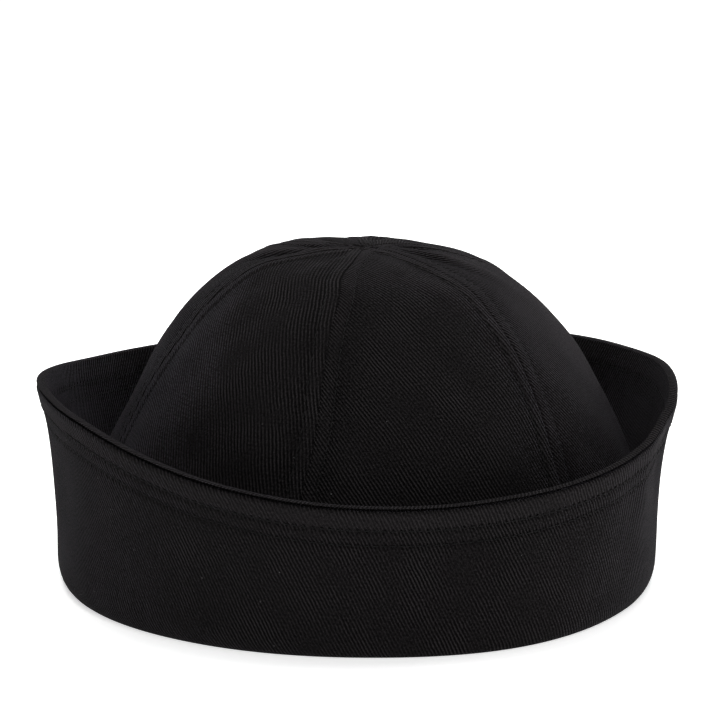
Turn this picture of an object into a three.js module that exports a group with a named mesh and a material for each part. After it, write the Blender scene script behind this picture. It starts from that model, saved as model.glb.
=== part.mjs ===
// Sailor cap of black cotton twill, standing on the fold of its turned-up brim.
// Millimetres, +Z up, origin on the resting surface at the middle of the base.
// The front faces -Y. Azimuths start at the front and grow towards +X.
import * as THREE from "three";
import { LoftGeometry } from "three/addons/geometries/LoftGeometry.js";

// Driving dimensions
const HEAD_GIRTH = 575; // round the inside of the head opening
const BRIM_PLY = 1.1; // thickness of one ply of the brim
const CROWN_PLY = 1.2; // thickness of a crown panel
const SEWN_GAP = 0.4; // left between plies that are sewn together
const BRIM_STAND = 7.5; // from the head opening out to the brim's outside, at the fold

// Crown: six equal gores round a vertical axis
const PANEL_NAMES = ["front_right", "right", "back_right", "back_left", "left", "front_left"];
const FRONT_SEAM = THREE.MathUtils.degToRad(-12);
const SEAM_GAP = 0.3; // between two panels at their seam
const SEAM_DIP = 0.8; // how far the cloth sinks at a seam
const SEAM_REACH = 4; // distance from a seam over which it sinks
const SEAM_FADE = { from: 14, to: 30 }; // heights between which the sinking grows from none
const PANEL_STATIONS = [-1, -0.94, -0.84, -0.6, -0.3, 0, 0.3, 0.6, 0.84, 0.94, 1];
const CROWN_ROWS = 18;
const CROWN_SECTIONS = [
  { height: 3.5, radius: 94.5, sway: 0 },
  { height: 14, radius: 94.3, sway: 0 },
  { height: 28, radius: 91.2, sway: 1.5 },
  { height: 42, radius: 86.3, sway: 2.6 },
  { height: 56, radius: 79.8, sway: 2.6 },
  { height: 70, radius: 71.9, sway: 2.4 },
  { height: 82, radius: 63.7, sway: 2.2 },
  { height: 93, radius: 54.2, sway: 1.8 },
  { height: 101, radius: 44.1, sway: 1.5 },
  { height: 105.9, radius: 32.5, sway: -1.0 },
  { height: 108.4, radius: 18, sway: -0.5 },
  { height: 109.3, radius: 1, sway: 2.0 },
];

// Brim, every 30 degrees from the front: the height of its edge, how far the edge leans out,
// and how far its foot bulges out of the round
const BRIM_EDGE = [
  { height: 49.3, flare: 2.0, bulge: -0.8 }, // front
  { height: 49.8, flare: 3.0, bulge: 2.5 },
  { height: 54.8, flare: 5.0, bulge: 0.8 },
  { height: 64.8, flare: 6.0, bulge: -0.8 }, // right
  { height: 65.2, flare: 5.0, bulge: 0 },
  { height: 63.2, flare: 3.0, bulge: 0 },
  { height: 61.0, flare: 2.0, bulge: 0.5 }, // back
  { height: 60.0, flare: 3.0, bulge: 0.5 },
  { height: 61.0, flare: 5.0, bulge: 0 },
  { height: 66.3, flare: 6.0, bulge: 0.2 }, // left
  { height: 65.8, flare: 5.0, bulge: 0.5 },
  { height: 55.2, flare: 3.0, bulge: -0.9 },
];
const BRIM_STEPS = 64;
const LEG_TOP = 11; // height of the outer ply's edge inside the head opening
const TURN_RADIUS = 1.8; // of the turn from the resting face up into the head opening
const FOLD = { width: 3.7, height: 8 }; // of the rounded fold at the foot of the brim
const FOLD_ANGLES = [75, 50, 25, 0]; // stations up the fold, in degrees below its widest point
const INNER_PLY_START = 25; // station of the fold where the inner ply begins
const WALL_STATIONS = [0.2, 0.4, 0.6, 0.8, 1];
const STRAIGHT_LEAN = 0.2; // share of the lean that grows evenly; the rest curls out near the edge
const EDGE_ROLL = 1.5; // how far the inner ply is rolled down over the edge, outside
const ROLL_ROUNDING = 0.5;

const openingRadius = HEAD_GIRTH / (2 * Math.PI);
const brimRadius = openingRadius + BRIM_STAND;
const panelHalfAngle = Math.PI / PANEL_NAMES.length;

const twill = new THREE.MeshStandardMaterial({ color: 0x19181a, roughness: 0.95, metalness: 0 });

const crownProfile = new THREE.CatmullRomCurve3(
  CROWN_SECTIONS.map(({ height, radius, sway }) => new THREE.Vector3(radius, sway, height)),
);

const brimEdge = new THREE.CatmullRomCurve3(
  BRIM_EDGE.map(({ height, flare, bulge }) => new THREE.Vector3(height, flare, bulge)),
  true,
  "catmullrom",
);

function atAzimuth(azimuth, radius, height, sway = 0) {
  return new THREE.Vector3(sway + radius * Math.sin(azimuth), -radius * Math.cos(azimuth), height);
}

// The crown's outline and outward direction at a part of the way from its lower edge to its tip
function crownAt(part) {
  const { x: radius, y: sway, z: height } = crownProfile.getPointAt(part);
  const slope = crownProfile.getTangentAt(part);
  const out = new THREE.Vector2(slope.z, -slope.x).normalize();
  return { radius, sway, height, out };
}

// A point of a crown panel: across runs from -1 to 1 between its seams, depth goes in from its outside
function panelPoint(centre, across, crown, depth) {
  const seamDistance = (1 - Math.abs(across)) * panelHalfAngle * crown.radius;
  const fade = THREE.MathUtils.smoothstep(crown.height, SEAM_FADE.from, SEAM_FADE.to);
  const sunk = depth + fade * SEAM_DIP * Math.exp(-((seamDistance / SEAM_REACH) ** 2));
  const radius = crown.radius - sunk * crown.out.x;
  const height = crown.height - sunk * crown.out.y;
  const halfWidth = panelHalfAngle - SEAM_GAP / 2 / radius;
  return atAzimuth(centre + across * halfWidth, radius, height, crown.sway);
}

// One gore, lofted from the lower edge to its tip through rows of even length
function crownPanel(centre) {
  const rows = [];
  for (let row = 0; row <= CROWN_ROWS; row += 1) {
    const crown = crownAt(row / CROWN_ROWS);
    const face = (depth) => PANEL_STATIONS.map((across) => panelPoint(centre, across, crown, depth));
    rows.push([...face(0), ...face(CROWN_PLY).reverse()]);
  }
  return new LoftGeometry(rows, { capStart: true, capEnd: true });
}

function edgeAt(turn) {
  const { x: height, y: flare, z: bulge } = brimEdge.getPoint(turn);
  return { height, flare, bulge };
}

// The foot's bulge fades out towards the edge
function footBulge(edge, height) {
  return edge.bulge * (1 - THREE.MathUtils.smoothstep(height, FOLD.height, edge.height));
}

// A point of the rounded fold, at an angle below its widest point, as radius and height
function foldPoint(edge, degrees, depth) {
  const angle = THREE.MathUtils.degToRad(degrees);
  const out = new THREE.Vector2(Math.cos(angle) / FOLD.width, -Math.sin(angle) / FOLD.height).normalize();
  return new THREE.Vector2(
    brimRadius + edge.bulge - FOLD.width * (1 - Math.cos(angle)) - depth * out.x,
    FOLD.height * (1 - Math.sin(angle)) - depth * out.y,
  );
}

// A point of the standing wall at a height; the wall leans out more and more towards its edge
function wallPoint(edge, height, depth) {
  const rise = (height - FOLD.height) / (edge.height - FOLD.height);
  const lean = edge.flare * (STRAIGHT_LEAN * rise + (1 - STRAIGHT_LEAN) * rise ** 3);
  return new THREE.Vector2(brimRadius + footBulge(edge, height) + lean - depth, height);
}

function wallFace(edge, top, depth) {
  return WALL_STATIONS.map((part) => wallPoint(edge, THREE.MathUtils.lerp(FOLD.height, top, part), depth));
}

// Outer ply at an azimuth: from inside the head opening, under the cap and up to just below the edge
function outerPlySection(edge) {
  const top = edge.height - EDGE_ROLL - SEWN_GAP;
  const turn = (depth) => {
    const bend = (TURN_RADIUS - depth) * Math.SQRT1_2;
    const middle = openingRadius + TURN_RADIUS;
    return [
      new THREE.Vector2(openingRadius + depth, LEG_TOP),
      new THREE.Vector2(openingRadius + depth, TURN_RADIUS),
      new THREE.Vector2(middle - bend, TURN_RADIUS - bend),
      new THREE.Vector2(middle, depth),
      new THREE.Vector2(brimRadius + edge.bulge - FOLD.width, depth),
    ];
  };
  const fold = (depth) => FOLD_ANGLES.map((degrees) => foldPoint(edge, degrees, depth));
  const face = (depth) => [...turn(depth), ...fold(depth), ...wallFace(edge, top, depth)];
  return [...face(0), ...face(BRIM_PLY).reverse()];
}

// Inner ply at an azimuth: from the fold up inside the outer ply, then rolled out over the edge
function innerPlySection(edge) {
  const depthOut = BRIM_PLY + SEWN_GAP;
  const depthIn = depthOut + BRIM_PLY;
  const stations = FOLD_ANGLES.filter((degrees) => degrees <= INNER_PLY_START);
  const fold = (depth) => stations.map((degrees) => foldPoint(edge, degrees, depth));
  const under = edge.height - EDGE_ROLL;
  const roll = [
    wallPoint(edge, under, 0),
    wallPoint(edge, edge.height - ROLL_ROUNDING, 0),
    wallPoint(edge, edge.height, ROLL_ROUNDING),
    wallPoint(edge, edge.height, depthIn - ROLL_ROUNDING),
  ];
  return [
    ...fold(depthOut),
    ...wallFace(edge, under, depthOut),
    ...roll,
    ...wallFace(edge, edge.height - ROLL_ROUNDING, depthIn).reverse(),
    ...fold(depthIn).reverse(),
  ];
}

// A ply swept once round the cap, leftwards from the front; its first section is also its last
function brimPly(section) {
  const rings = [];
  for (let step = BRIM_STEPS; step >= 0; step -= 1) {
    const turn = (step % BRIM_STEPS) / BRIM_STEPS;
    const points = section(edgeAt(turn));
    rings.push(points.map(({ x, y }) => atAzimuth(turn * 2 * Math.PI, x, y)));
  }
  return new LoftGeometry(rings);
}

const cap = new THREE.Group();

function addPiece(name, geometry) {
  const piece = new THREE.Mesh(geometry, twill);
  piece.name = name;
  cap.add(piece);
}

PANEL_NAMES.forEach((place, index) => {
  const centre = FRONT_SEAM + (2 * index + 1) * panelHalfAngle;
  addPiece(`crown_panel_${place}`, crownPanel(centre));
});
addPiece("brim_outer", brimPly(outerPlySection));
addPiece("brim_inner", brimPly(innerPlySection));

export default cap;
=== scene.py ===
import math

import bpy
import numpy as np
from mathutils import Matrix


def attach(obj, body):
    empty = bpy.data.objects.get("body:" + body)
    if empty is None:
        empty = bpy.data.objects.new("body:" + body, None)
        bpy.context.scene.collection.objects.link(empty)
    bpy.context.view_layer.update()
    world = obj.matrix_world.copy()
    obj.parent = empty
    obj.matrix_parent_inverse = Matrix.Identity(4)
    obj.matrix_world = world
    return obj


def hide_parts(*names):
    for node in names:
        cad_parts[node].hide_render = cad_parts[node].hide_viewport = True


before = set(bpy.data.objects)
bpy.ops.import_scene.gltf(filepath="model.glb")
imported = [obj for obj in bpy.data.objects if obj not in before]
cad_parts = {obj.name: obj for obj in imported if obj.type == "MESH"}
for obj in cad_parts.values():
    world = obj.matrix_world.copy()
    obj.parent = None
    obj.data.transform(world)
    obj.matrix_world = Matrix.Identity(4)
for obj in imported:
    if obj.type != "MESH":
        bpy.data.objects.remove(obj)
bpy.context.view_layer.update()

# Crown panels
# Six gores of black cotton twill, cut on the straight grain and sewn edge to edge, close over the head.
# Their allowances are pressed open underneath, so each seam is a groove between two raised bands.
PANELS = {  # each panel's place, and the turn in degrees of its grain from its middle line
    "front_right": 5.0,
    "right": -1.0,
    "back_right": 1.5,
    "back_left": -2.0,
    "left": 1.0,
    "front_left": 0.5,
}
PANEL_HALF_ANGLE = math.pi / len(PANELS)
FRONT_SEAM = math.radians(-12)
PANEL_THICKNESS = 0.0012
PANEL_GAP = 0.000004
CROWN_SECTIONS = (  # height, radius and sway to the right, from the lower edge to the tip
    (0.0035, 0.0945, 0.0),
    (0.0140, 0.0943, 0.0),
    (0.0280, 0.0912, 0.0015),
    (0.0420, 0.0863, 0.0026),
    (0.0560, 0.0798, 0.0026),
    (0.0700, 0.0719, 0.0024),
    (0.0820, 0.0637, 0.0022),
    (0.0930, 0.0542, 0.0018),
    (0.1010, 0.0441, 0.0015),
    (0.1059, 0.0325, -0.0010),
    (0.1084, 0.0180, -0.0005),
    (0.1093, 0.00008, 0.0020),
)
SEAM_SHOWS = (0.014, 0.030)  # heights between which a seam's relief grows from none
SEAM_DIP = 0.0004
SEAM_DIP_WIDTH = 0.007
SEAM_DIP_ENDS = (0.005, 0.030)  # radii between which the dip dies away at the tip
SEAM_RISE = 0.00040  # of the bands over the pressed allowances
SEAM_BAND_SLOPE = (-0.0012, 0.0007)  # where a band slopes down, from its edge
SEAM_BAND_ENDS = (0.002, 0.014)  # radii between which the bands sink away at the tip
SEAM_STITCH_LINE = 0.0045  # from the seam to the topstitching beside it
SEAM_SCALLOP = 0.0004  # how far the bands' edges wave from stitch to stitch
SEAM_GROOVE = 0.00030
SEAM_GROOVE_WIDTH = 0.00045
STITCH_PITCH = 0.0027
STITCH_PULL = 0.00020  # how far a stitch draws the cloth in
STITCH_PULL_WIDTH = 0.0008
APEX_PUCKERS = (  # azimuth in degrees, radius, half length, half width and depth; a swelling's is negative
    (-90, 0.026, 0.009, 0.0020, 0.0012),
    (-101, 0.026, 0.010, 0.0024, -0.0007),
    (-112, 0.014, 0.006, 0.0018, 0.0009),
    (-82, 0.013, 0.005, 0.0016, -0.0006),
    (66, 0.028, 0.014, 0.0022, 0.0010),
    (75, 0.030, 0.015, 0.0026, -0.0007),
    (94, 0.017, 0.007, 0.0018, 0.0009),
    (-40, 0.014, 0.005, 0.0018, 0.0004),
    (20, 0.013, 0.004, 0.0018, 0.0003),
    (150, 0.020, 0.008, 0.0022, 0.0008),
    (200, 0.018, 0.008, 0.0020, 0.0008),
    (95, 0.060, 0.018, 0.030, -0.0014),
    (-150, 0.035, 0.018, 0.025, -0.0008),
)
APEX_LUMPS = 0.0002  # where the ends of the six seams crowd together at the tip
APEX_REACH = 0.007
TIP_TWIST = math.radians(14)  # how far the seams wander round at the tip
TIP_REACH = 0.033
TIP_CLOSES = (0.0005, 0.004)  # radii below which the walls stand straight up, so that the tip stays closed
FOOT_TWIST = math.radians(-1.8)  # how far they wander round below
FOOT_TWIST_FADES = (0.045, 0.070)  # heights between which that dies away
CROWN_SWELLS = (  # turns round the cap, turn per metre along the cloth, phase and size of each slow swell
    (3, 38, 0.4, 0.00040),
    (5, -66, 2.1, 0.00034),
    (8, 92, 4.0, 0.00026),
    (13, -140, 1.2, 0.00016),
    (19, 210, 2.7, 0.00010),
)
SWELL_CALM = 0.06  # radius within which the swells die away towards the tip
OUTER_COLUMNS = 96
INNER_COLUMNS = 28
OUTER_CROWDING = 1.4
INNER_CROWDING = 1.3
PANEL_ROWS = 260


def smooth_through(knots, values, at, period=None):
    """A smooth curve through values at knots, read at the given places, closed on itself if it has a period."""
    knots = np.asarray(knots, float)
    values = np.asarray(values, float)
    if period:
        at = np.mod(at, period)
        knots = np.concatenate([knots[-2:] - period, knots, knots[:2] + period])
        values = np.concatenate([values[-2:], values, values[:2]])
    slopes = np.gradient(values, knots)
    first = np.clip(np.searchsorted(knots, at, side="right") - 1, 0, len(knots) - 2)
    width = knots[first + 1] - knots[first]
    part = (at - knots[first]) / width
    rest = 1 - part
    start = (1 + 2 * part) * rest**2 * values[first] + part * rest**2 * width * slopes[first]
    end = (1 + 2 * rest) * part**2 * values[first + 1] - rest * part**2 * width * slopes[first + 1]
    return start + end


def smoothstep(value, low, high):
    part = np.clip((value - low) / (high - low), 0, 1)
    return part * part * (3 - 2 * part)


def ridge(distance, width):
    return np.exp(-((distance / width) ** 2))


def swell(azimuth, along, swells):
    return sum(size * np.cos(turns * azimuth + rate * along + phase) for turns, rate, phase, size in swells)


crown_columns = np.array(CROWN_SECTIONS).T
crown_knots = np.concatenate([[0], np.cumsum(np.hypot(*np.diff(crown_columns[:2])))])
crown_length = crown_knots[-1]


def crown_at(along):
    """Height, radius, sway and the outward direction of the crown, along its outline from the lower edge."""
    height, radius, sway = (smooth_through(crown_knots, column, along) for column in crown_columns)
    step = crown_length / 2000
    low = np.clip(along - step, 0, crown_length)
    high = np.clip(along + step, 0, crown_length)
    rise, reach = (
        smooth_through(crown_knots, column, high) - smooth_through(crown_knots, column, low)
        for column in crown_columns[:2]
    )
    size = np.hypot(rise, reach)
    return height, radius, sway, rise / size, -reach / size


def seam_relief(distance, along, radius):
    """Relief beside a seam: raised bands, a groove between them, and the cloth drawn in along the stitches."""
    edge = SEAM_STITCH_LINE + SEAM_SCALLOP * np.cos(2 * math.pi * along / STITCH_PITCH + 1)
    slope_start, slope_end = SEAM_BAND_SLOPE
    band = SEAM_RISE * (1 - smoothstep(distance, edge + slope_start, edge + slope_end))
    groove = SEAM_GROOVE * ridge(distance, SEAM_GROOVE_WIDTH)
    drawn = 0.6 + 0.4 * np.cos(2 * math.pi * along / STITCH_PITCH)
    pull = STITCH_PULL * ridge(distance - SEAM_STITCH_LINE, STITCH_PULL_WIDTH) * drawn
    dip = SEAM_DIP * ridge(distance, SEAM_DIP_WIDTH) * smoothstep(radius, *SEAM_DIP_ENDS)
    return band * smoothstep(radius, *SEAM_BAND_ENDS) - groove - pull - dip


def apex_relief(azimuth, radius):
    """Relief round the tip: folds and swellings of the panels, and the lumps of the crowded seams."""
    relief = 0
    for degrees, middle, half_length, half_width, depth in APEX_PUCKERS:
        turn = (azimuth - math.radians(degrees) + math.pi) % (2 * math.pi) - math.pi
        relief = relief - depth * ridge(radius - middle, half_length) * ridge(turn * radius, half_width)
    lumps = np.cos(9 * azimuth + 60 * radius / APEX_REACH) * ridge(radius - APEX_REACH / 2, APEX_REACH / 2)
    return relief + APEX_LUMPS * lumps


def crown_surface(azimuth, along, depth=0):
    """Points of the sewn crown and their relief, by azimuth from the front and length up the cloth."""
    height, radius, sway, out_radius, out_height = crown_at(along)
    from_seam = (azimuth - FRONT_SEAM + PANEL_HALF_ANGLE) % (2 * PANEL_HALF_ANGLE) - PANEL_HALF_ANGLE
    relief = smoothstep(height, *SEAM_SHOWS) * seam_relief(np.abs(from_seam) * radius, along, radius)
    relief = relief + apex_relief(azimuth, radius)
    lift = relief + np.clip(radius / SWELL_CALM, 0, 1) * swell(azimuth, along, CROWN_SWELLS) - depth
    radius = radius + lift * out_radius * smoothstep(radius, *TIP_CLOSES)
    azimuth = azimuth + TIP_TWIST * ridge(radius, TIP_REACH)
    azimuth = azimuth + FOOT_TWIST * (1 - smoothstep(height, *FOOT_TWIST_FADES))
    points = np.stack(
        [sway + radius * np.sin(azimuth), -radius * np.cos(azimuth), height + lift * out_height], -1
    )
    return points, relief


def cloth_grid(name, columns, rows):
    """A flat grid of cloth, with each vertex's column and row."""
    bpy.ops.object.select_all(action="DESELECT")
    bpy.ops.mesh.primitive_grid_add(x_subdivisions=columns, y_subdivisions=rows, size=1)
    piece = bpy.context.active_object
    piece.name = name
    piece.data.name = name
    flat = np.empty(3 * len(piece.data.vertices))
    piece.data.vertices.foreach_get("co", flat)
    flat = flat.reshape(-1, 3) + 0.5
    return piece, np.rint(flat[:, 0] * columns).astype(int), np.rint(flat[:, 1] * rows).astype(int)


def sew(piece, points, cloth, relief, open_ends):
    """Put the grid's vertices in their sewn places, keep the flat cloth as its UV map, and close its edges."""
    mesh = piece.data
    mesh.vertices.foreach_set("co", points.ravel())
    corner = np.empty(len(mesh.loops), int)
    mesh.loops.foreach_get("vertex_index", corner)
    mesh.uv_layers[0].name = "cloth"
    mesh.uv_layers[0].data.foreach_set("uv", cloth[corner].ravel())
    # The relief also sets the cloth's colour: painted highlight on raised places, painted shade in grooves and
    # hollows
    mesh.attributes.new("relief", "FLOAT", "POINT").data.foreach_set("value", relief)
    bpy.ops.object.mode_set(mode="EDIT")
    bpy.ops.mesh.select_all(action="SELECT")
    bpy.ops.mesh.remove_doubles(threshold=1e-7)
    if open_ends:
        bpy.ops.mesh.fill_holes(sides=0)
    bpy.ops.object.mode_set(mode="OBJECT")
    bpy.ops.object.shade_smooth_by_angle(angle=math.radians(50))


def math_node(tree, operation, *values):
    node = tree.nodes.new("ShaderNodeMath")
    node.operation = operation
    for socket, value in zip(node.inputs, values):
        if isinstance(value, bpy.types.NodeSocket):
            tree.links.new(value, socket)
        else:
            socket.default_value = value
    return node.outputs[0]


def noise(tree, place, scale, detail):
    node = tree.nodes.new("ShaderNodeTexNoise")
    node.inputs["Scale"].default_value = scale
    node.inputs["Detail"].default_value = detail
    tree.links.new(place, node.inputs["Vector"])
    return node.outputs["Fac"]


TWILL_SLANT = math.radians(26)  # of the twill lines from the straight grain
TWILL_PITCH = 0.00107
TWILL_FLOAT = 0.0016  # length of one float of yarn along a line
FLOAT_STAGGER = 0.38  # from one line to the next
LINT_SPACING = 1 / 140
LINT_RADIUS = 0.0002
LINT_COLOUR = (0.080, 0.078, 0.080, 1)
YARN_DARK = (0.0002, 0.0002, 0.0002, 1)
YARN_PALE = (0.0255, 0.0230, 0.0240, 1)
FADED_BLACK = (0.0070, 0.0062, 0.0065, 1)


def make_twill_weave():
    """Slanting lines of twill from the flat cloth: how far up a line a point is, and the height of the yarn."""
    group = bpy.data.node_groups.new("twill_weave", "ShaderNodeTree")
    group.interface.new_socket("Cloth", in_out="INPUT", socket_type="NodeSocketVector")
    group.interface.new_socket("Line", in_out="OUTPUT", socket_type="NodeSocketFloat")
    group.interface.new_socket("Height", in_out="OUTPUT", socket_type="NodeSocketFloat")
    given = group.nodes.new("NodeGroupInput")
    made = group.nodes.new("NodeGroupOutput")
    split = group.nodes.new("ShaderNodeSeparateXYZ")
    group.links.new(given.outputs["Cloth"], split.inputs[0])
    across, along = split.outputs[0], split.outputs[1]
    cosine, sine = math.cos(TWILL_SLANT), math.sin(TWILL_SLANT)
    over = math_node(
        group, "ADD", math_node(group, "MULTIPLY", across, cosine), math_node(group, "MULTIPLY", along, sine)
    )
    wander = noise(group, given.outputs["Cloth"], 160, 2)
    number = math_node(
        group, "MULTIPLY_ADD", wander, 0.7, math_node(group, "DIVIDE", over, TWILL_PITCH)
    )
    wave = math_node(group, "SINE", math_node(group, "MULTIPLY", number, 2 * math.pi))
    line = math_node(group, "MULTIPLY_ADD", wave, 0.5, 0.5)
    along_part = math_node(group, "MULTIPLY", along, cosine)
    up = math_node(group, "SUBTRACT", along_part, math_node(group, "MULTIPLY", across, sine))
    stagger = math_node(group, "MULTIPLY", math_node(group, "FLOOR", number), FLOAT_STAGGER)
    place = math_node(group, "ADD", math_node(group, "DIVIDE", up, TWILL_FLOAT), stagger)
    yarn = math_node(group, "SINE", math_node(group, "MULTIPLY", place, 2 * math.pi))
    bulge = math_node(group, "MULTIPLY_ADD", yarn, 0.14, 0.86)
    fuzz = math_node(group, "SUBTRACT", noise(group, given.outputs["Cloth"], 1500, 3), 0.5)
    height = math_node(group, "MULTIPLY_ADD", fuzz, 0.9, math_node(group, "MULTIPLY", line, bulge))
    clear = math_node(group, "MULTIPLY_ADD", noise(group, given.outputs["Cloth"], 75, 3), 3.4, -1.0)
    clear = math_node(group, "MAXIMUM", clear, 0.12)
    shown = math_node(group, "MULTIPLY", math_node(group, "SUBTRACT", line, 0.5), clear)
    grain = math_node(group, "ADD", shown, math_node(group, "MULTIPLY_ADD", fuzz, 1.8, 0.5))
    grain.node.use_clamp = True
    grain = math_node(group, "POWER", grain, 1.7)
    group.links.new(grain, made.inputs["Line"])
    group.links.new(height, made.inputs["Height"])
    return group


twill_weave = make_twill_weave()


def mix_colour(tree, part, first, second):
    node = tree.nodes.new("ShaderNodeMix")
    node.data_type = "RGBA"
    for socket, value in zip((node.inputs[0], node.inputs[6], node.inputs[7]), (part, first, second)):
        if isinstance(value, bpy.types.NodeSocket):
            tree.links.new(value, socket)
        else:
            socket.default_value = value
    return node.outputs[2]


def make_black_twill(name):
    """Black cotton twill, a little paler on its lines, with painted highlight on raised bands and swellings and
    painted shade down in the seams, grooves and folds, both read from the relief.
    """
    material = bpy.data.materials.new(name)
    material.use_nodes = True
    tree = material.node_tree
    shader = tree.nodes["Principled BSDF"]
    cloth = tree.nodes.new("ShaderNodeUVMap")
    cloth.uv_map = "cloth"
    weave = tree.nodes.new("ShaderNodeGroup")
    weave.node_tree = twill_weave
    tree.links.new(cloth.outputs[0], weave.inputs["Cloth"])
    relief = tree.nodes.new("ShaderNodeAttribute")
    relief.attribute_name = "relief"
    # Painted highlight where the relief rises and painted shade where it sinks, added to the twill lines
    painted_relief_light = math_node(tree, "MULTIPLY_ADD", relief.outputs["Fac"], 420, weave.outputs["Line"])
    painted_relief_light.node.use_clamp = True
    yarn = mix_colour(tree, painted_relief_light, YARN_DARK, YARN_PALE)
    place = tree.nodes.new("ShaderNodeTexCoord").outputs["Object"]
    fade = math_node(tree, "MULTIPLY", noise(tree, place, 45, 4), 0.6)
    faded = mix_colour(tree, fade, yarn, FADED_BLACK)
    lint = tree.nodes.new("ShaderNodeTexVoronoi")
    lint.inputs["Scale"].default_value = 1 / LINT_SPACING
    tree.links.new(place, lint.inputs["Vector"])
    speck = math_node(tree, "LESS_THAN", lint.outputs["Distance"], LINT_RADIUS / LINT_SPACING)
    linted = mix_colour(tree, speck, faded, LINT_COLOUR)
    tree.links.new(linted, shader.inputs["Base Color"])
    rough = math_node(tree, "MULTIPLY_ADD", weave.outputs["Line"], -0.10, 0.95)
    tree.links.new(rough, shader.inputs["Roughness"])
    bump = tree.nodes.new("ShaderNodeBump")
    bump.inputs["Strength"].default_value = 1.0
    bump.inputs["Distance"].default_value = 0.0004
    creased = math_node(tree, "MULTIPLY_ADD", noise(tree, place, 110, 2), 1.6, weave.outputs["Height"])
    tree.links.new(creased, bump.inputs["Height"])
    tree.links.new(bump.outputs[0], shader.inputs["Normal"])
    shader.inputs["Specular IOR Level"].default_value = 0.03
    shader.inputs["Sheen Weight"].default_value = 0.085
    shader.inputs["Sheen Roughness"].default_value = 0.08
    shader.inputs["Sheen Tint"].default_value = (0.80, 0.75, 0.91, 1)
    return material


black_twill = make_black_twill("black_twill")


def station_columns(count, crowding):
    """Places from -1 to 1 across a panel, closer together towards its seams."""
    return np.sin(np.linspace(-1, 1, count) * crowding) / math.sin(crowding)


panel_across = np.concatenate(
    [station_columns(OUTER_COLUMNS, OUTER_CROWDING), station_columns(INNER_COLUMNS, INNER_CROWDING)[::-1]]
)
panel_depth = np.repeat((0, PANEL_THICKNESS), (OUTER_COLUMNS, INNER_COLUMNS))
panel_columns = OUTER_COLUMNS + INNER_COLUMNS
for number, (place, degrees) in enumerate(PANELS.items()):
    panel, column, row = cloth_grid(f"sewn_panel_{place}", panel_columns, PANEL_ROWS)
    across = panel_across[column % panel_columns]
    along = row / PANEL_ROWS * crown_length
    radius = crown_at(along)[1]
    turn = across * (PANEL_HALF_ANGLE - PANEL_GAP / radius)
    centre = FRONT_SEAM + (2 * number + 1) * PANEL_HALF_ANGLE
    points, relief = crown_surface(centre + turn, along, panel_depth[column % panel_columns])
    grain = math.radians(degrees)
    weft = turn * radius * math.cos(grain) + along * math.sin(grain)
    warp = along * math.cos(grain) - turn * radius * math.sin(grain)
    sew(panel, points, np.stack([weft + number, warp], -1), relief, open_ends=True)
    panel.data.materials.append(black_twill)
    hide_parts(f"crown_panel_{place}")
    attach(panel, "root")

# Brim, outer ply
# The ply of the turned-up brim that faces out, a strip of the same twill joined into a ring at the back.
# It folds under the cap and is sewn up inside the head opening; the cap rests on that fold.
HEAD_GIRTH = 0.575
BRIM_STAND = 0.0075  # from the head opening out to the brim's outside, at the fold
BRIM_PLY = 0.0011
SEWN_GAP = 0.0004
LEG_TOP = 0.011  # height of the ply's edge inside the head opening
TURN_RADIUS = 0.0018  # of its turn from there to the resting face
FOLD_WIDTH = 0.0037
FOLD_HEIGHT = 0.008
EDGE_ROLL = 0.0006  # height of the rolled edge
ROLL_GAP = 0.0007  # from the rolled edge down to the outer ply, outside
STRAIGHT_LEAN = 0.2  # share of the lean that grows evenly; the rest curls out near the edge
BRIM_EDGE = (  # height of the edge, its lean out, and the foot's bulge, every 30 degrees from the front
    (0.0493, 0.0020, -0.0008),
    (0.0498, 0.0030, 0.0025),
    (0.0548, 0.0050, 0.0008),
    (0.0648, 0.0060, -0.0008),
    (0.0652, 0.0050, 0.0),
    (0.0632, 0.0030, 0.0),
    (0.0610, 0.0020, 0.0005),
    (0.0600, 0.0030, 0.0005),
    (0.0610, 0.0050, 0.0),
    (0.0663, 0.0060, 0.0002),
    (0.0658, 0.0050, 0.0005),
    (0.0552, 0.0030, -0.0009),
)
HEM_ROWS = (0.0076, 0.0125)  # topstitching below the edge
HEM_DEPTH = 0.016  # below the edge, where the mesh is fine
HEM_STITCHES = 232  # round the brim
HEM_RISE = 0.00055  # of the band above the first row, over the allowances turned in at the edge
HEM_BAND_SLOPE = (-0.0009, 0.0005)  # where that band slopes down, from its edge
HEM_SCALLOP = 0.0006  # how far its edge waves from stitch to stitch
HEM_PULL = 0.00045  # how far the stitches draw the cloth in
HEM_PUFF = 0.00012  # of the cloth between the two rows
HEM_INSIDE = 0.35  # share of the hem's relief that shows on the inner ply
HEM_TUCK = 0.0008  # how far the outer ply turns in below the rolled edge
HEM_TUCK_HEIGHT = 0.0020
BACK_JOIN = math.radians(168)  # azimuth of the join
JOIN_GROOVE = 0.0004
BRIM_SWELLS = (  # as the crown's
    (4, 60, 0.9, 0.00035),
    (7, -40, 3.1, 0.00028),
    (11, 85, 5.2, 0.00018),
    (17, -120, 1.7, 0.00010),
)
BRIM_DENTS = (  # azimuth in degrees, height, half width, half height and depth; a swelling's is negative
    (64, 0.042, 0.006, 0.016, -0.0009),
    (74, 0.044, 0.006, 0.016, 0.0010),
    (-70, 0.036, 0.009, 0.016, 0.0007),
    (-28, 0.022, 0.014, 0.012, 0.0006),
    (30, 0.026, 0.016, 0.012, -0.0005),
    (140, 0.035, 0.010, 0.018, 0.0008),
    (-130, 0.034, 0.012, 0.016, -0.0007),
    (-90, 0.036, 0.050, 0.018, -0.0005),
)
BRIM_COLUMNS = 928

opening_radius = HEAD_GIRTH / (2 * math.pi)
brim_radius = opening_radius + BRIM_STAND
brim_knots = np.arange(len(BRIM_EDGE)) * 2 * math.pi / len(BRIM_EDGE)


def edge_at(azimuth):
    """Height and lean of the brim's edge and bulge of its foot, one after the other."""
    return (smooth_through(brim_knots, column, azimuth, 2 * math.pi) for column in np.array(BRIM_EDGE).T)


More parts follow.
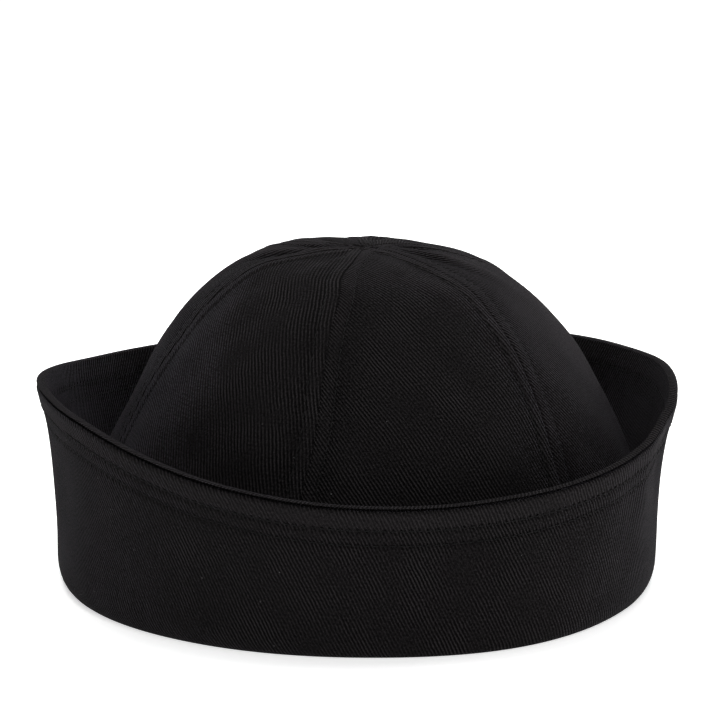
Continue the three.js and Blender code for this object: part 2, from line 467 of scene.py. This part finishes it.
def wall_radius(azimuth, height):
    """Radius of the brim's outside before any stitching draws it in."""
    edge, flare, bulge = edge_at(azimuth)
    rise = (height - FOLD_HEIGHT) / (edge - FOLD_HEIGHT)
    lean = flare * (STRAIGHT_LEAN * rise + (1 - STRAIGHT_LEAN) * rise**3)
    calm = smoothstep(height, 0, 2 * FOLD_HEIGHT)
    foot = bulge * (1 - smoothstep(height, FOLD_HEIGHT, edge))
    radius = brim_radius + foot + lean + calm * swell(azimuth, height, BRIM_SWELLS)
    for degrees, middle, half_width, half_height, depth in BRIM_DENTS:
        turn = (azimuth - math.radians(degrees) + math.pi) % (2 * math.pi) - math.pi
        dent = ridge(turn * brim_radius, half_width) * ridge(height - middle, half_height)
        radius = radius - calm * depth * dent
    return radius


def hem_relief(azimuth, below):
    """Relief of the stitched hem: drawn in along its rows, puffed between them, grooved at the back join."""
    stitch = np.cos(HEM_STITCHES * azimuth)
    relief = 0
    for line in HEM_ROWS:
        relief = relief - HEM_PULL * (0.6 + 0.4 * stitch) * ridge(below - line, STITCH_PULL_WIDTH)
    first, second = HEM_ROWS
    step = first - HEM_SCALLOP * stitch
    slope_start, slope_end = HEM_BAND_SLOPE
    relief = relief + HEM_RISE * (1 - smoothstep(below, step + slope_start, step + slope_end))
    relief = relief + HEM_PUFF * ridge(below - (first + second) / 2, (second - first) / 3)
    turn = (azimuth - BACK_JOIN + math.pi) % (2 * math.pi) - math.pi
    return relief - JOIN_GROOVE * ridge(turn * brim_radius, SEAM_GROOVE_WIDTH)


def wall_part(azimuth, heights, depth, side):
    """Stretch of the standing wall; side is 1 where the cloth's face looks out, and -1 where it looks in."""
    edge = next(edge_at(azimuth))
    below = edge - heights
    relief = hem_relief(azimuth, below)
    if side > 0:
        relief = relief - HEM_TUCK * (1 - smoothstep(below, EDGE_ROLL, EDGE_ROLL + HEM_TUCK_HEIGHT))
    else:
        relief = HEM_INSIDE * relief
    return wall_radius(azimuth, heights) - depth + side * relief, heights, relief


def fold_part(azimuth, degrees, depth):
    """Stretch of the rounded fold at the brim's foot, by degrees below its widest place."""
    angle = np.radians(degrees)
    bulge = list(edge_at(azimuth))[2]
    out_radius, out_height = np.cos(angle) / FOLD_WIDTH, -np.sin(angle) / FOLD_HEIGHT
    size = np.hypot(out_radius, out_height)
    height = FOLD_HEIGHT * (1 - np.sin(angle))
    calm = smoothstep(height, 0, 2 * FOLD_HEIGHT)
    radius = brim_radius + bulge - FOLD_WIDTH * (1 - np.cos(angle))
    radius = radius + calm * swell(azimuth, height, BRIM_SWELLS)
    return radius - depth * out_radius / size, height - depth * out_height / size, 0 * radius


def turn_part(azimuth, leg_stations, turn_stations, depth):
    """The outer ply's leg inside the head opening and its turn down to the flat resting face."""
    angle = np.linspace(0, math.pi / 2, turn_stations)
    leg = np.linspace(LEG_TOP, TURN_RADIUS, leg_stations, endpoint=False)
    middle = opening_radius + TURN_RADIUS
    radius = np.concatenate([0 * leg + opening_radius + depth, middle - (TURN_RADIUS - depth) * np.cos(angle)])
    height = np.concatenate([leg, TURN_RADIUS - (TURN_RADIUS - depth) * np.sin(angle)])
    spread = np.ones_like(azimuth)
    return radius * spread, height * spread, 0 * radius * spread


def ply_ring(name, parts, facing):
    """A ring of cloth from the stretches of its closed section, going round from the join at the back."""
    parts = [np.broadcast_arrays(*part) for part in parts]
    radius, height, relief = (np.concatenate(columns, axis=1) for columns in zip(*parts))
    stations = radius.shape[1]
    ply, column, station = cloth_grid(name, BRIM_COLUMNS, stations)
    length = np.cumsum(np.hypot(np.diff(radius, axis=1), np.diff(height, axis=1)), axis=1)
    length = np.concatenate([np.zeros((len(radius), 1)), length], axis=1)
    wrapped = station % stations
    azimuth = brim_turns[column]
    place = (column, wrapped)
    points = np.stack(
        [radius[place] * np.sin(azimuth), -radius[place] * np.cos(azimuth), height[place]], -1
    )
    length = np.concatenate([length, length[:, -1:]], axis=1)
    cloth = np.stack([facing * azimuth * brim_radius, length[column, station]], -1)
    sew(ply, points, cloth, relief[place], open_ends=False)
    ply.data.materials.append(black_twill)
    return ply


brim_turns = np.linspace(BACK_JOIN - 2 * math.pi, BACK_JOIN, BRIM_COLUMNS + 1)
around = brim_turns[:, None]
edge_height = next(edge_at(around))
outer_top = edge_height - EDGE_ROLL - ROLL_GAP
hem_start = edge_height - HEM_DEPTH


def between(low, high, stations):
    """Heights from low to high, one row of them for each place round the cap, without the last."""
    return low + (high - low) * np.linspace(0, 1, stations, endpoint=False)


outer_parts = [
    turn_part(around, 6, 6, 0),
    fold_part(around, np.array((90, 78, 66, 54, 43, 32, 21, 10)), 0),
    wall_part(around, between(FOLD_HEIGHT, hem_start, 18), 0, 1),
    wall_part(around, between(hem_start, outer_top, 30), 0, 1),
    wall_part(around, outer_top, 0, 1),
    wall_part(around, outer_top, BRIM_PLY, 0),
    wall_part(around, between(hem_start, FOLD_HEIGHT, 6), BRIM_PLY, 0),
    fold_part(around, np.array((0, 30, 60, 90)), BRIM_PLY),
    [part[:, ::-1] for part in turn_part(around, 2, 3, BRIM_PLY)],
]
brim_outer_ply = ply_ring("brim_outer_ply", outer_parts, 1)
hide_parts("brim_outer")
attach(brim_outer_ply, "root")

# Brim, inner ply
# The ply that faces the crown. It is sewn to the outer ply along the edge, right sides together, and turned,
# so its cloth rolls over the edge and shows outside as a thin rib above a groove.
INNER_START = (25, 12)  # degrees below the fold's widest place where the ply begins
ROLL_STATIONS = 9
ROLL_UNDERCUT = 0.85  # reach of the rib's lower half, as a share of its upper half's
ROLL_PAINTED_HIGHLIGHT = 0.0004  # painted highlight on the rib's outer shoulder; it changes only the colour, through the relief
ROLL_PAINTED_HIGHLIGHT_ANGLE = 0.5
ROLL_PAINTED_HIGHLIGHT_WIDTH = 0.9

inner_face = 2 * BRIM_PLY + SEWN_GAP
roll_middle = edge_height - EDGE_ROLL / 2


def roll_part(azimuth):
    """The rolled edge, a half round rib from the outside over the top to the inner face."""
    angle = np.linspace(-0.5 * math.pi, math.pi, ROLL_STATIONS)
    outside = wall_radius(azimuth, roll_middle)
    half_width = inner_face / 2
    reach = np.where(angle < 0, ROLL_UNDERCUT, 1.0)
    radius = outside - half_width + half_width * np.cos(angle) * reach
    height = roll_middle + EDGE_ROLL / 2 * np.sin(angle)
    # The third part is a painted highlight along the rib's outer shoulder, carried as relief for the colour
    # only
    return radius, height, ROLL_PAINTED_HIGHLIGHT * ridge(angle - ROLL_PAINTED_HIGHLIGHT_ANGLE, ROLL_PAINTED_HIGHLIGHT_WIDTH) * np.ones_like(azimuth)


inner_parts = [
    fold_part(around, np.array(INNER_START), BRIM_PLY + SEWN_GAP),
    wall_part(around, between(FOLD_HEIGHT, hem_start, 4), BRIM_PLY + SEWN_GAP, 0),
    wall_part(around, between(hem_start, edge_height - EDGE_ROLL, 4), BRIM_PLY + SEWN_GAP, 0),
    roll_part(around),
    wall_part(around, between(roll_middle, hem_start, 28), inner_face, -1),
    wall_part(around, between(hem_start, FOLD_HEIGHT, 16), inner_face, -1),
    fold_part(around, np.array(INNER_START[::-1]), inner_face),
]
brim_inner_ply = ply_ring("brim_inner_ply", inner_parts, -1)
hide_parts("brim_inner")
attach(brim_inner_ply, "root")

# Thread
# Black cotton thread: two rows beside every crown seam, two rows round the brim's hem that show on both its
# faces, and one row inside the head opening that holds the brim to the crown.
THREAD_WIDTH = 0.00034
THREAD_HEIGHT = 0.00024
STITCH_LENGTH = 0.0022
SEAM_ROW_START = 0.012  # along the crown from its lower edge
SEAM_ROW_END_RADIUS = 0.010
OPENING_ROW = 0.0085  # height
OPENING_STITCHES = 205
SHAKE = np.random.default_rng(7)


def make_black_thread():
    """Black thread, uneven where its strands turn."""
    material = bpy.data.materials.new("black_thread")
    material.use_nodes = True
    tree = material.node_tree
    shader = tree.nodes["Principled BSDF"]
    place = tree.nodes.new("ShaderNodeTexCoord").outputs["Object"]
    strands = noise(tree, place, 4200, 2)
    tone = mix_colour(tree, strands, (0.002, 0.002, 0.002, 1), (0.008, 0.008, 0.008, 1))
    tree.links.new(tone, shader.inputs["Base Color"])
    rough = math_node(tree, "MULTIPLY_ADD", strands, 0.2, 0.7)
    tree.links.new(rough, shader.inputs["Roughness"])
    bump = tree.nodes.new("ShaderNodeBump")
    bump.inputs["Strength"].default_value = 0.5
    bump.inputs["Distance"].default_value = 0.0001
    tree.links.new(strands, bump.inputs["Height"])
    tree.links.new(bump.outputs[0], shader.inputs["Normal"])
    shader.inputs["Specular IOR Level"].default_value = 0.15
    return material


black_thread = make_black_thread()

bpy.ops.object.select_all(action="DESELECT")
bpy.ops.mesh.primitive_uv_sphere_add(segments=6, ring_count=5, radius=0.5)
stitch = bpy.context.active_object
stitch_points = np.array([tuple(vertex.co) for vertex in stitch.data.vertices])
stitch_points = stitch_points[:, [2, 0, 1]] * (STITCH_LENGTH, THREAD_WIDTH, THREAD_HEIGHT)
stitch_faces = [tuple(face.vertices) for face in stitch.data.polygons]
bpy.data.objects.remove(stitch)


def stitch_row(line, out):
    """Stitches at the middles of a row's even steps, each along the row and lying on the cloth."""
    middle = (line[1:] + line[:-1]) / 2
    ahead = line[1:] - line[:-1]
    ahead = ahead / np.linalg.norm(ahead, axis=1)[:, None]
    up = (out[1:] + out[:-1]) / 2
    up = up - (up * ahead).sum(1)[:, None] * ahead
    up = up / np.linalg.norm(up, axis=1)[:, None]
    side = np.cross(up, ahead)
    lean = SHAKE.normal(0, 0.05, len(middle))[:, None]
    ahead, side = ahead + lean * side, side - lean * ahead
    axes = np.stack([ahead, side, up], 1)
    return np.einsum("pk,skx->spx", stitch_points, axes) + middle[:, None]


def sew_thread(name, rows):
    """One piece of joined stitches from its rows."""
    stitches = np.concatenate(rows)
    count = stitches.shape[1]
    faces = [
        tuple(corner + first for corner in face)
        for first in range(0, len(stitches) * count, count)
        for face in stitch_faces
    ]
    mesh = bpy.data.meshes.new(name)
    mesh.from_pydata(stitches.reshape(-1, 3), [], faces)
    mesh.polygons.foreach_set("use_smooth", np.ones(len(faces), bool))
    mesh.materials.append(black_thread)
    thread = bpy.data.objects.new(name, mesh)
    bpy.context.collection.objects.link(thread)
    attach(thread, "root")
    return thread


def outward(points, inside):
    """Unit directions away from points on the axis side of the cloth."""
    away = points - inside
    return away / np.linalg.norm(away, axis=1)[:, None]


seam_rows_outside = []
seam_rows_inside = []
row_alongs = np.arange(SEAM_ROW_START, crown_length, STITCH_PITCH)
row_alongs = row_alongs[crown_at(row_alongs)[1] > SEAM_ROW_END_RADIUS] - STITCH_PITCH / 2
for seam in range(len(PANELS)):
    for side in (-1, 1):
        turn = FRONT_SEAM + 2 * seam * PANEL_HALF_ANGLE + side * SEAM_STITCH_LINE / crown_at(row_alongs)[1]
        outside, _ = crown_surface(turn, row_alongs, -THREAD_HEIGHT / 6)
        inside, _ = crown_surface(turn, row_alongs, PANEL_THICKNESS + THREAD_HEIGHT / 6)
        seam_rows_outside.append(stitch_row(outside, outward(outside, inside)))
        seam_rows_inside.append(stitch_row(inside, outward(inside, outside)))
sew_thread("seam_topstitching", seam_rows_outside)
sew_thread("seam_stitching_inside", seam_rows_inside)

hem_turns = np.linspace(0, 2 * math.pi, HEM_STITCHES + 1) + math.pi / HEM_STITCHES
hem_rows_outside = []
hem_rows_inside = []
for below in HEM_ROWS:
    heights = next(edge_at(hem_turns)) - below
    for depth, side, rows in ((0, 1, hem_rows_outside), (inner_face, -1, hem_rows_inside)):
        radius = wall_part(hem_turns, heights, depth, side)[0] + side * THREAD_HEIGHT / 6
        direction = np.stack([np.sin(hem_turns), -np.cos(hem_turns), 0 * hem_turns], -1)
        line = direction * radius[:, None]
        line[:, 2] = heights
        rows.append(stitch_row(line, side * direction))
sew_thread("hem_stitching_outside", hem_rows_outside)
sew_thread("hem_stitching_inside", hem_rows_inside)

opening_turns = np.linspace(0, 2 * math.pi, OPENING_STITCHES + 1)
inward = np.stack([-np.sin(opening_turns), np.cos(opening_turns), 0 * opening_turns], -1)
opening_line = inward * -(opening_radius - THREAD_HEIGHT / 6)
opening_line[:, 2] = OPENING_ROW
sew_thread("opening_stitching", [stitch_row(opening_line, inward)])

# Studio
# A white table lit from below, a broad soft light above, a weaker one in front and a small low one at the
# right, in a bright surround that is strongest low down behind the cap and on its right.
FLOOR_SIZE = 12
FLOOR_GLOW = 0.60
LIGHT_BEHIND = 1.2
LIGHT_RIGHT = 1.0
EYE_DISTANCE = 1.136
EYE_ELEVATION = math.radians(16.6)
AXIS_ELEVATION = math.radians(13.09)
AXIS_TURN = math.radians(-0.04)
LENS = 170.4

bpy.ops.object.select_all(action="DESELECT")
bpy.ops.mesh.primitive_plane_add(size=FLOOR_SIZE)
floor = bpy.context.active_object
floor.name = "floor"
floor_paint = bpy.data.materials.new("floor_white")
floor_paint.use_nodes = True
floor_shader = floor_paint.node_tree.nodes["Principled BSDF"]
floor_shader.inputs["Base Color"].default_value = (0.9, 0.9, 0.9, 1)
floor_shader.inputs["Roughness"].default_value = 0.9
floor_shader.inputs["Emission Color"].default_value = (1, 1, 1, 1)
floor_shader.inputs["Emission Strength"].default_value = FLOOR_GLOW
floor.data.materials.append(floor_paint)

surround = bpy.data.worlds.new("white_surround")
surround.use_nodes = True
surround_tree = surround.node_tree
outlook = surround_tree.nodes.new("ShaderNodeSeparateXYZ")
surround_tree.links.new(surround_tree.nodes.new("ShaderNodeTexCoord").outputs["Generated"], outlook.inputs[0])
from_right = math_node(surround_tree, "MAXIMUM", outlook.outputs[0], 0)
from_behind = math_node(surround_tree, "MAXIMUM", outlook.outputs[1], 0)
from_right = math_node(surround_tree, "MULTIPLY", from_right, LIGHT_RIGHT)
glow = math_node(surround_tree, "MULTIPLY_ADD", from_behind, LIGHT_BEHIND, from_right)
level = math_node(surround_tree, "SUBTRACT", 1, outlook.outputs[2])
glow = math_node(surround_tree, "MULTIPLY", glow, level)
background = surround_tree.nodes["Background"]
background.inputs["Color"].default_value = (1, 1, 1, 1)
surround_tree.links.new(glow, background.inputs["Strength"])
bpy.context.scene.world = surround


def soft_light(name, place, size, power):
    """A square lamp aimed at the middle of the cap's base."""
    light = bpy.data.lights.new(name, "AREA")
    light.size = size
    light.energy = power
    lamp = bpy.data.objects.new(name, light)
    lamp.location = place
    aim = -np.array(place) / np.linalg.norm(place)
    lamp.rotation_euler = (math.acos(-aim[2]), 0, math.atan2(aim[0], -aim[1]) + math.pi)
    bpy.context.collection.objects.link(lamp)


soft_light("light_above", (-0.05, 0.35, 1.25), 1.0, 20.5)
soft_light("light_front", (0.15, -1.2, 0.9), 0.9, 7.5)
soft_light("light_right", (0.95, 0.35, 0.07), 0.12, 2.0)

eye = bpy.data.cameras.new("eye")
eye.lens = LENS
eye.sensor_width = 36
camera = bpy.data.objects.new("camera", eye)
camera.location = (0, -EYE_DISTANCE * math.cos(EYE_ELEVATION), EYE_DISTANCE * math.sin(EYE_ELEVATION))
camera.rotation_euler = (math.pi / 2 - AXIS_ELEVATION, 0, AXIS_TURN)
bpy.context.collection.objects.link(camera)
bpy.context.scene.camera = camera
bpy.context.scene.view_settings.view_transform = "Standard"
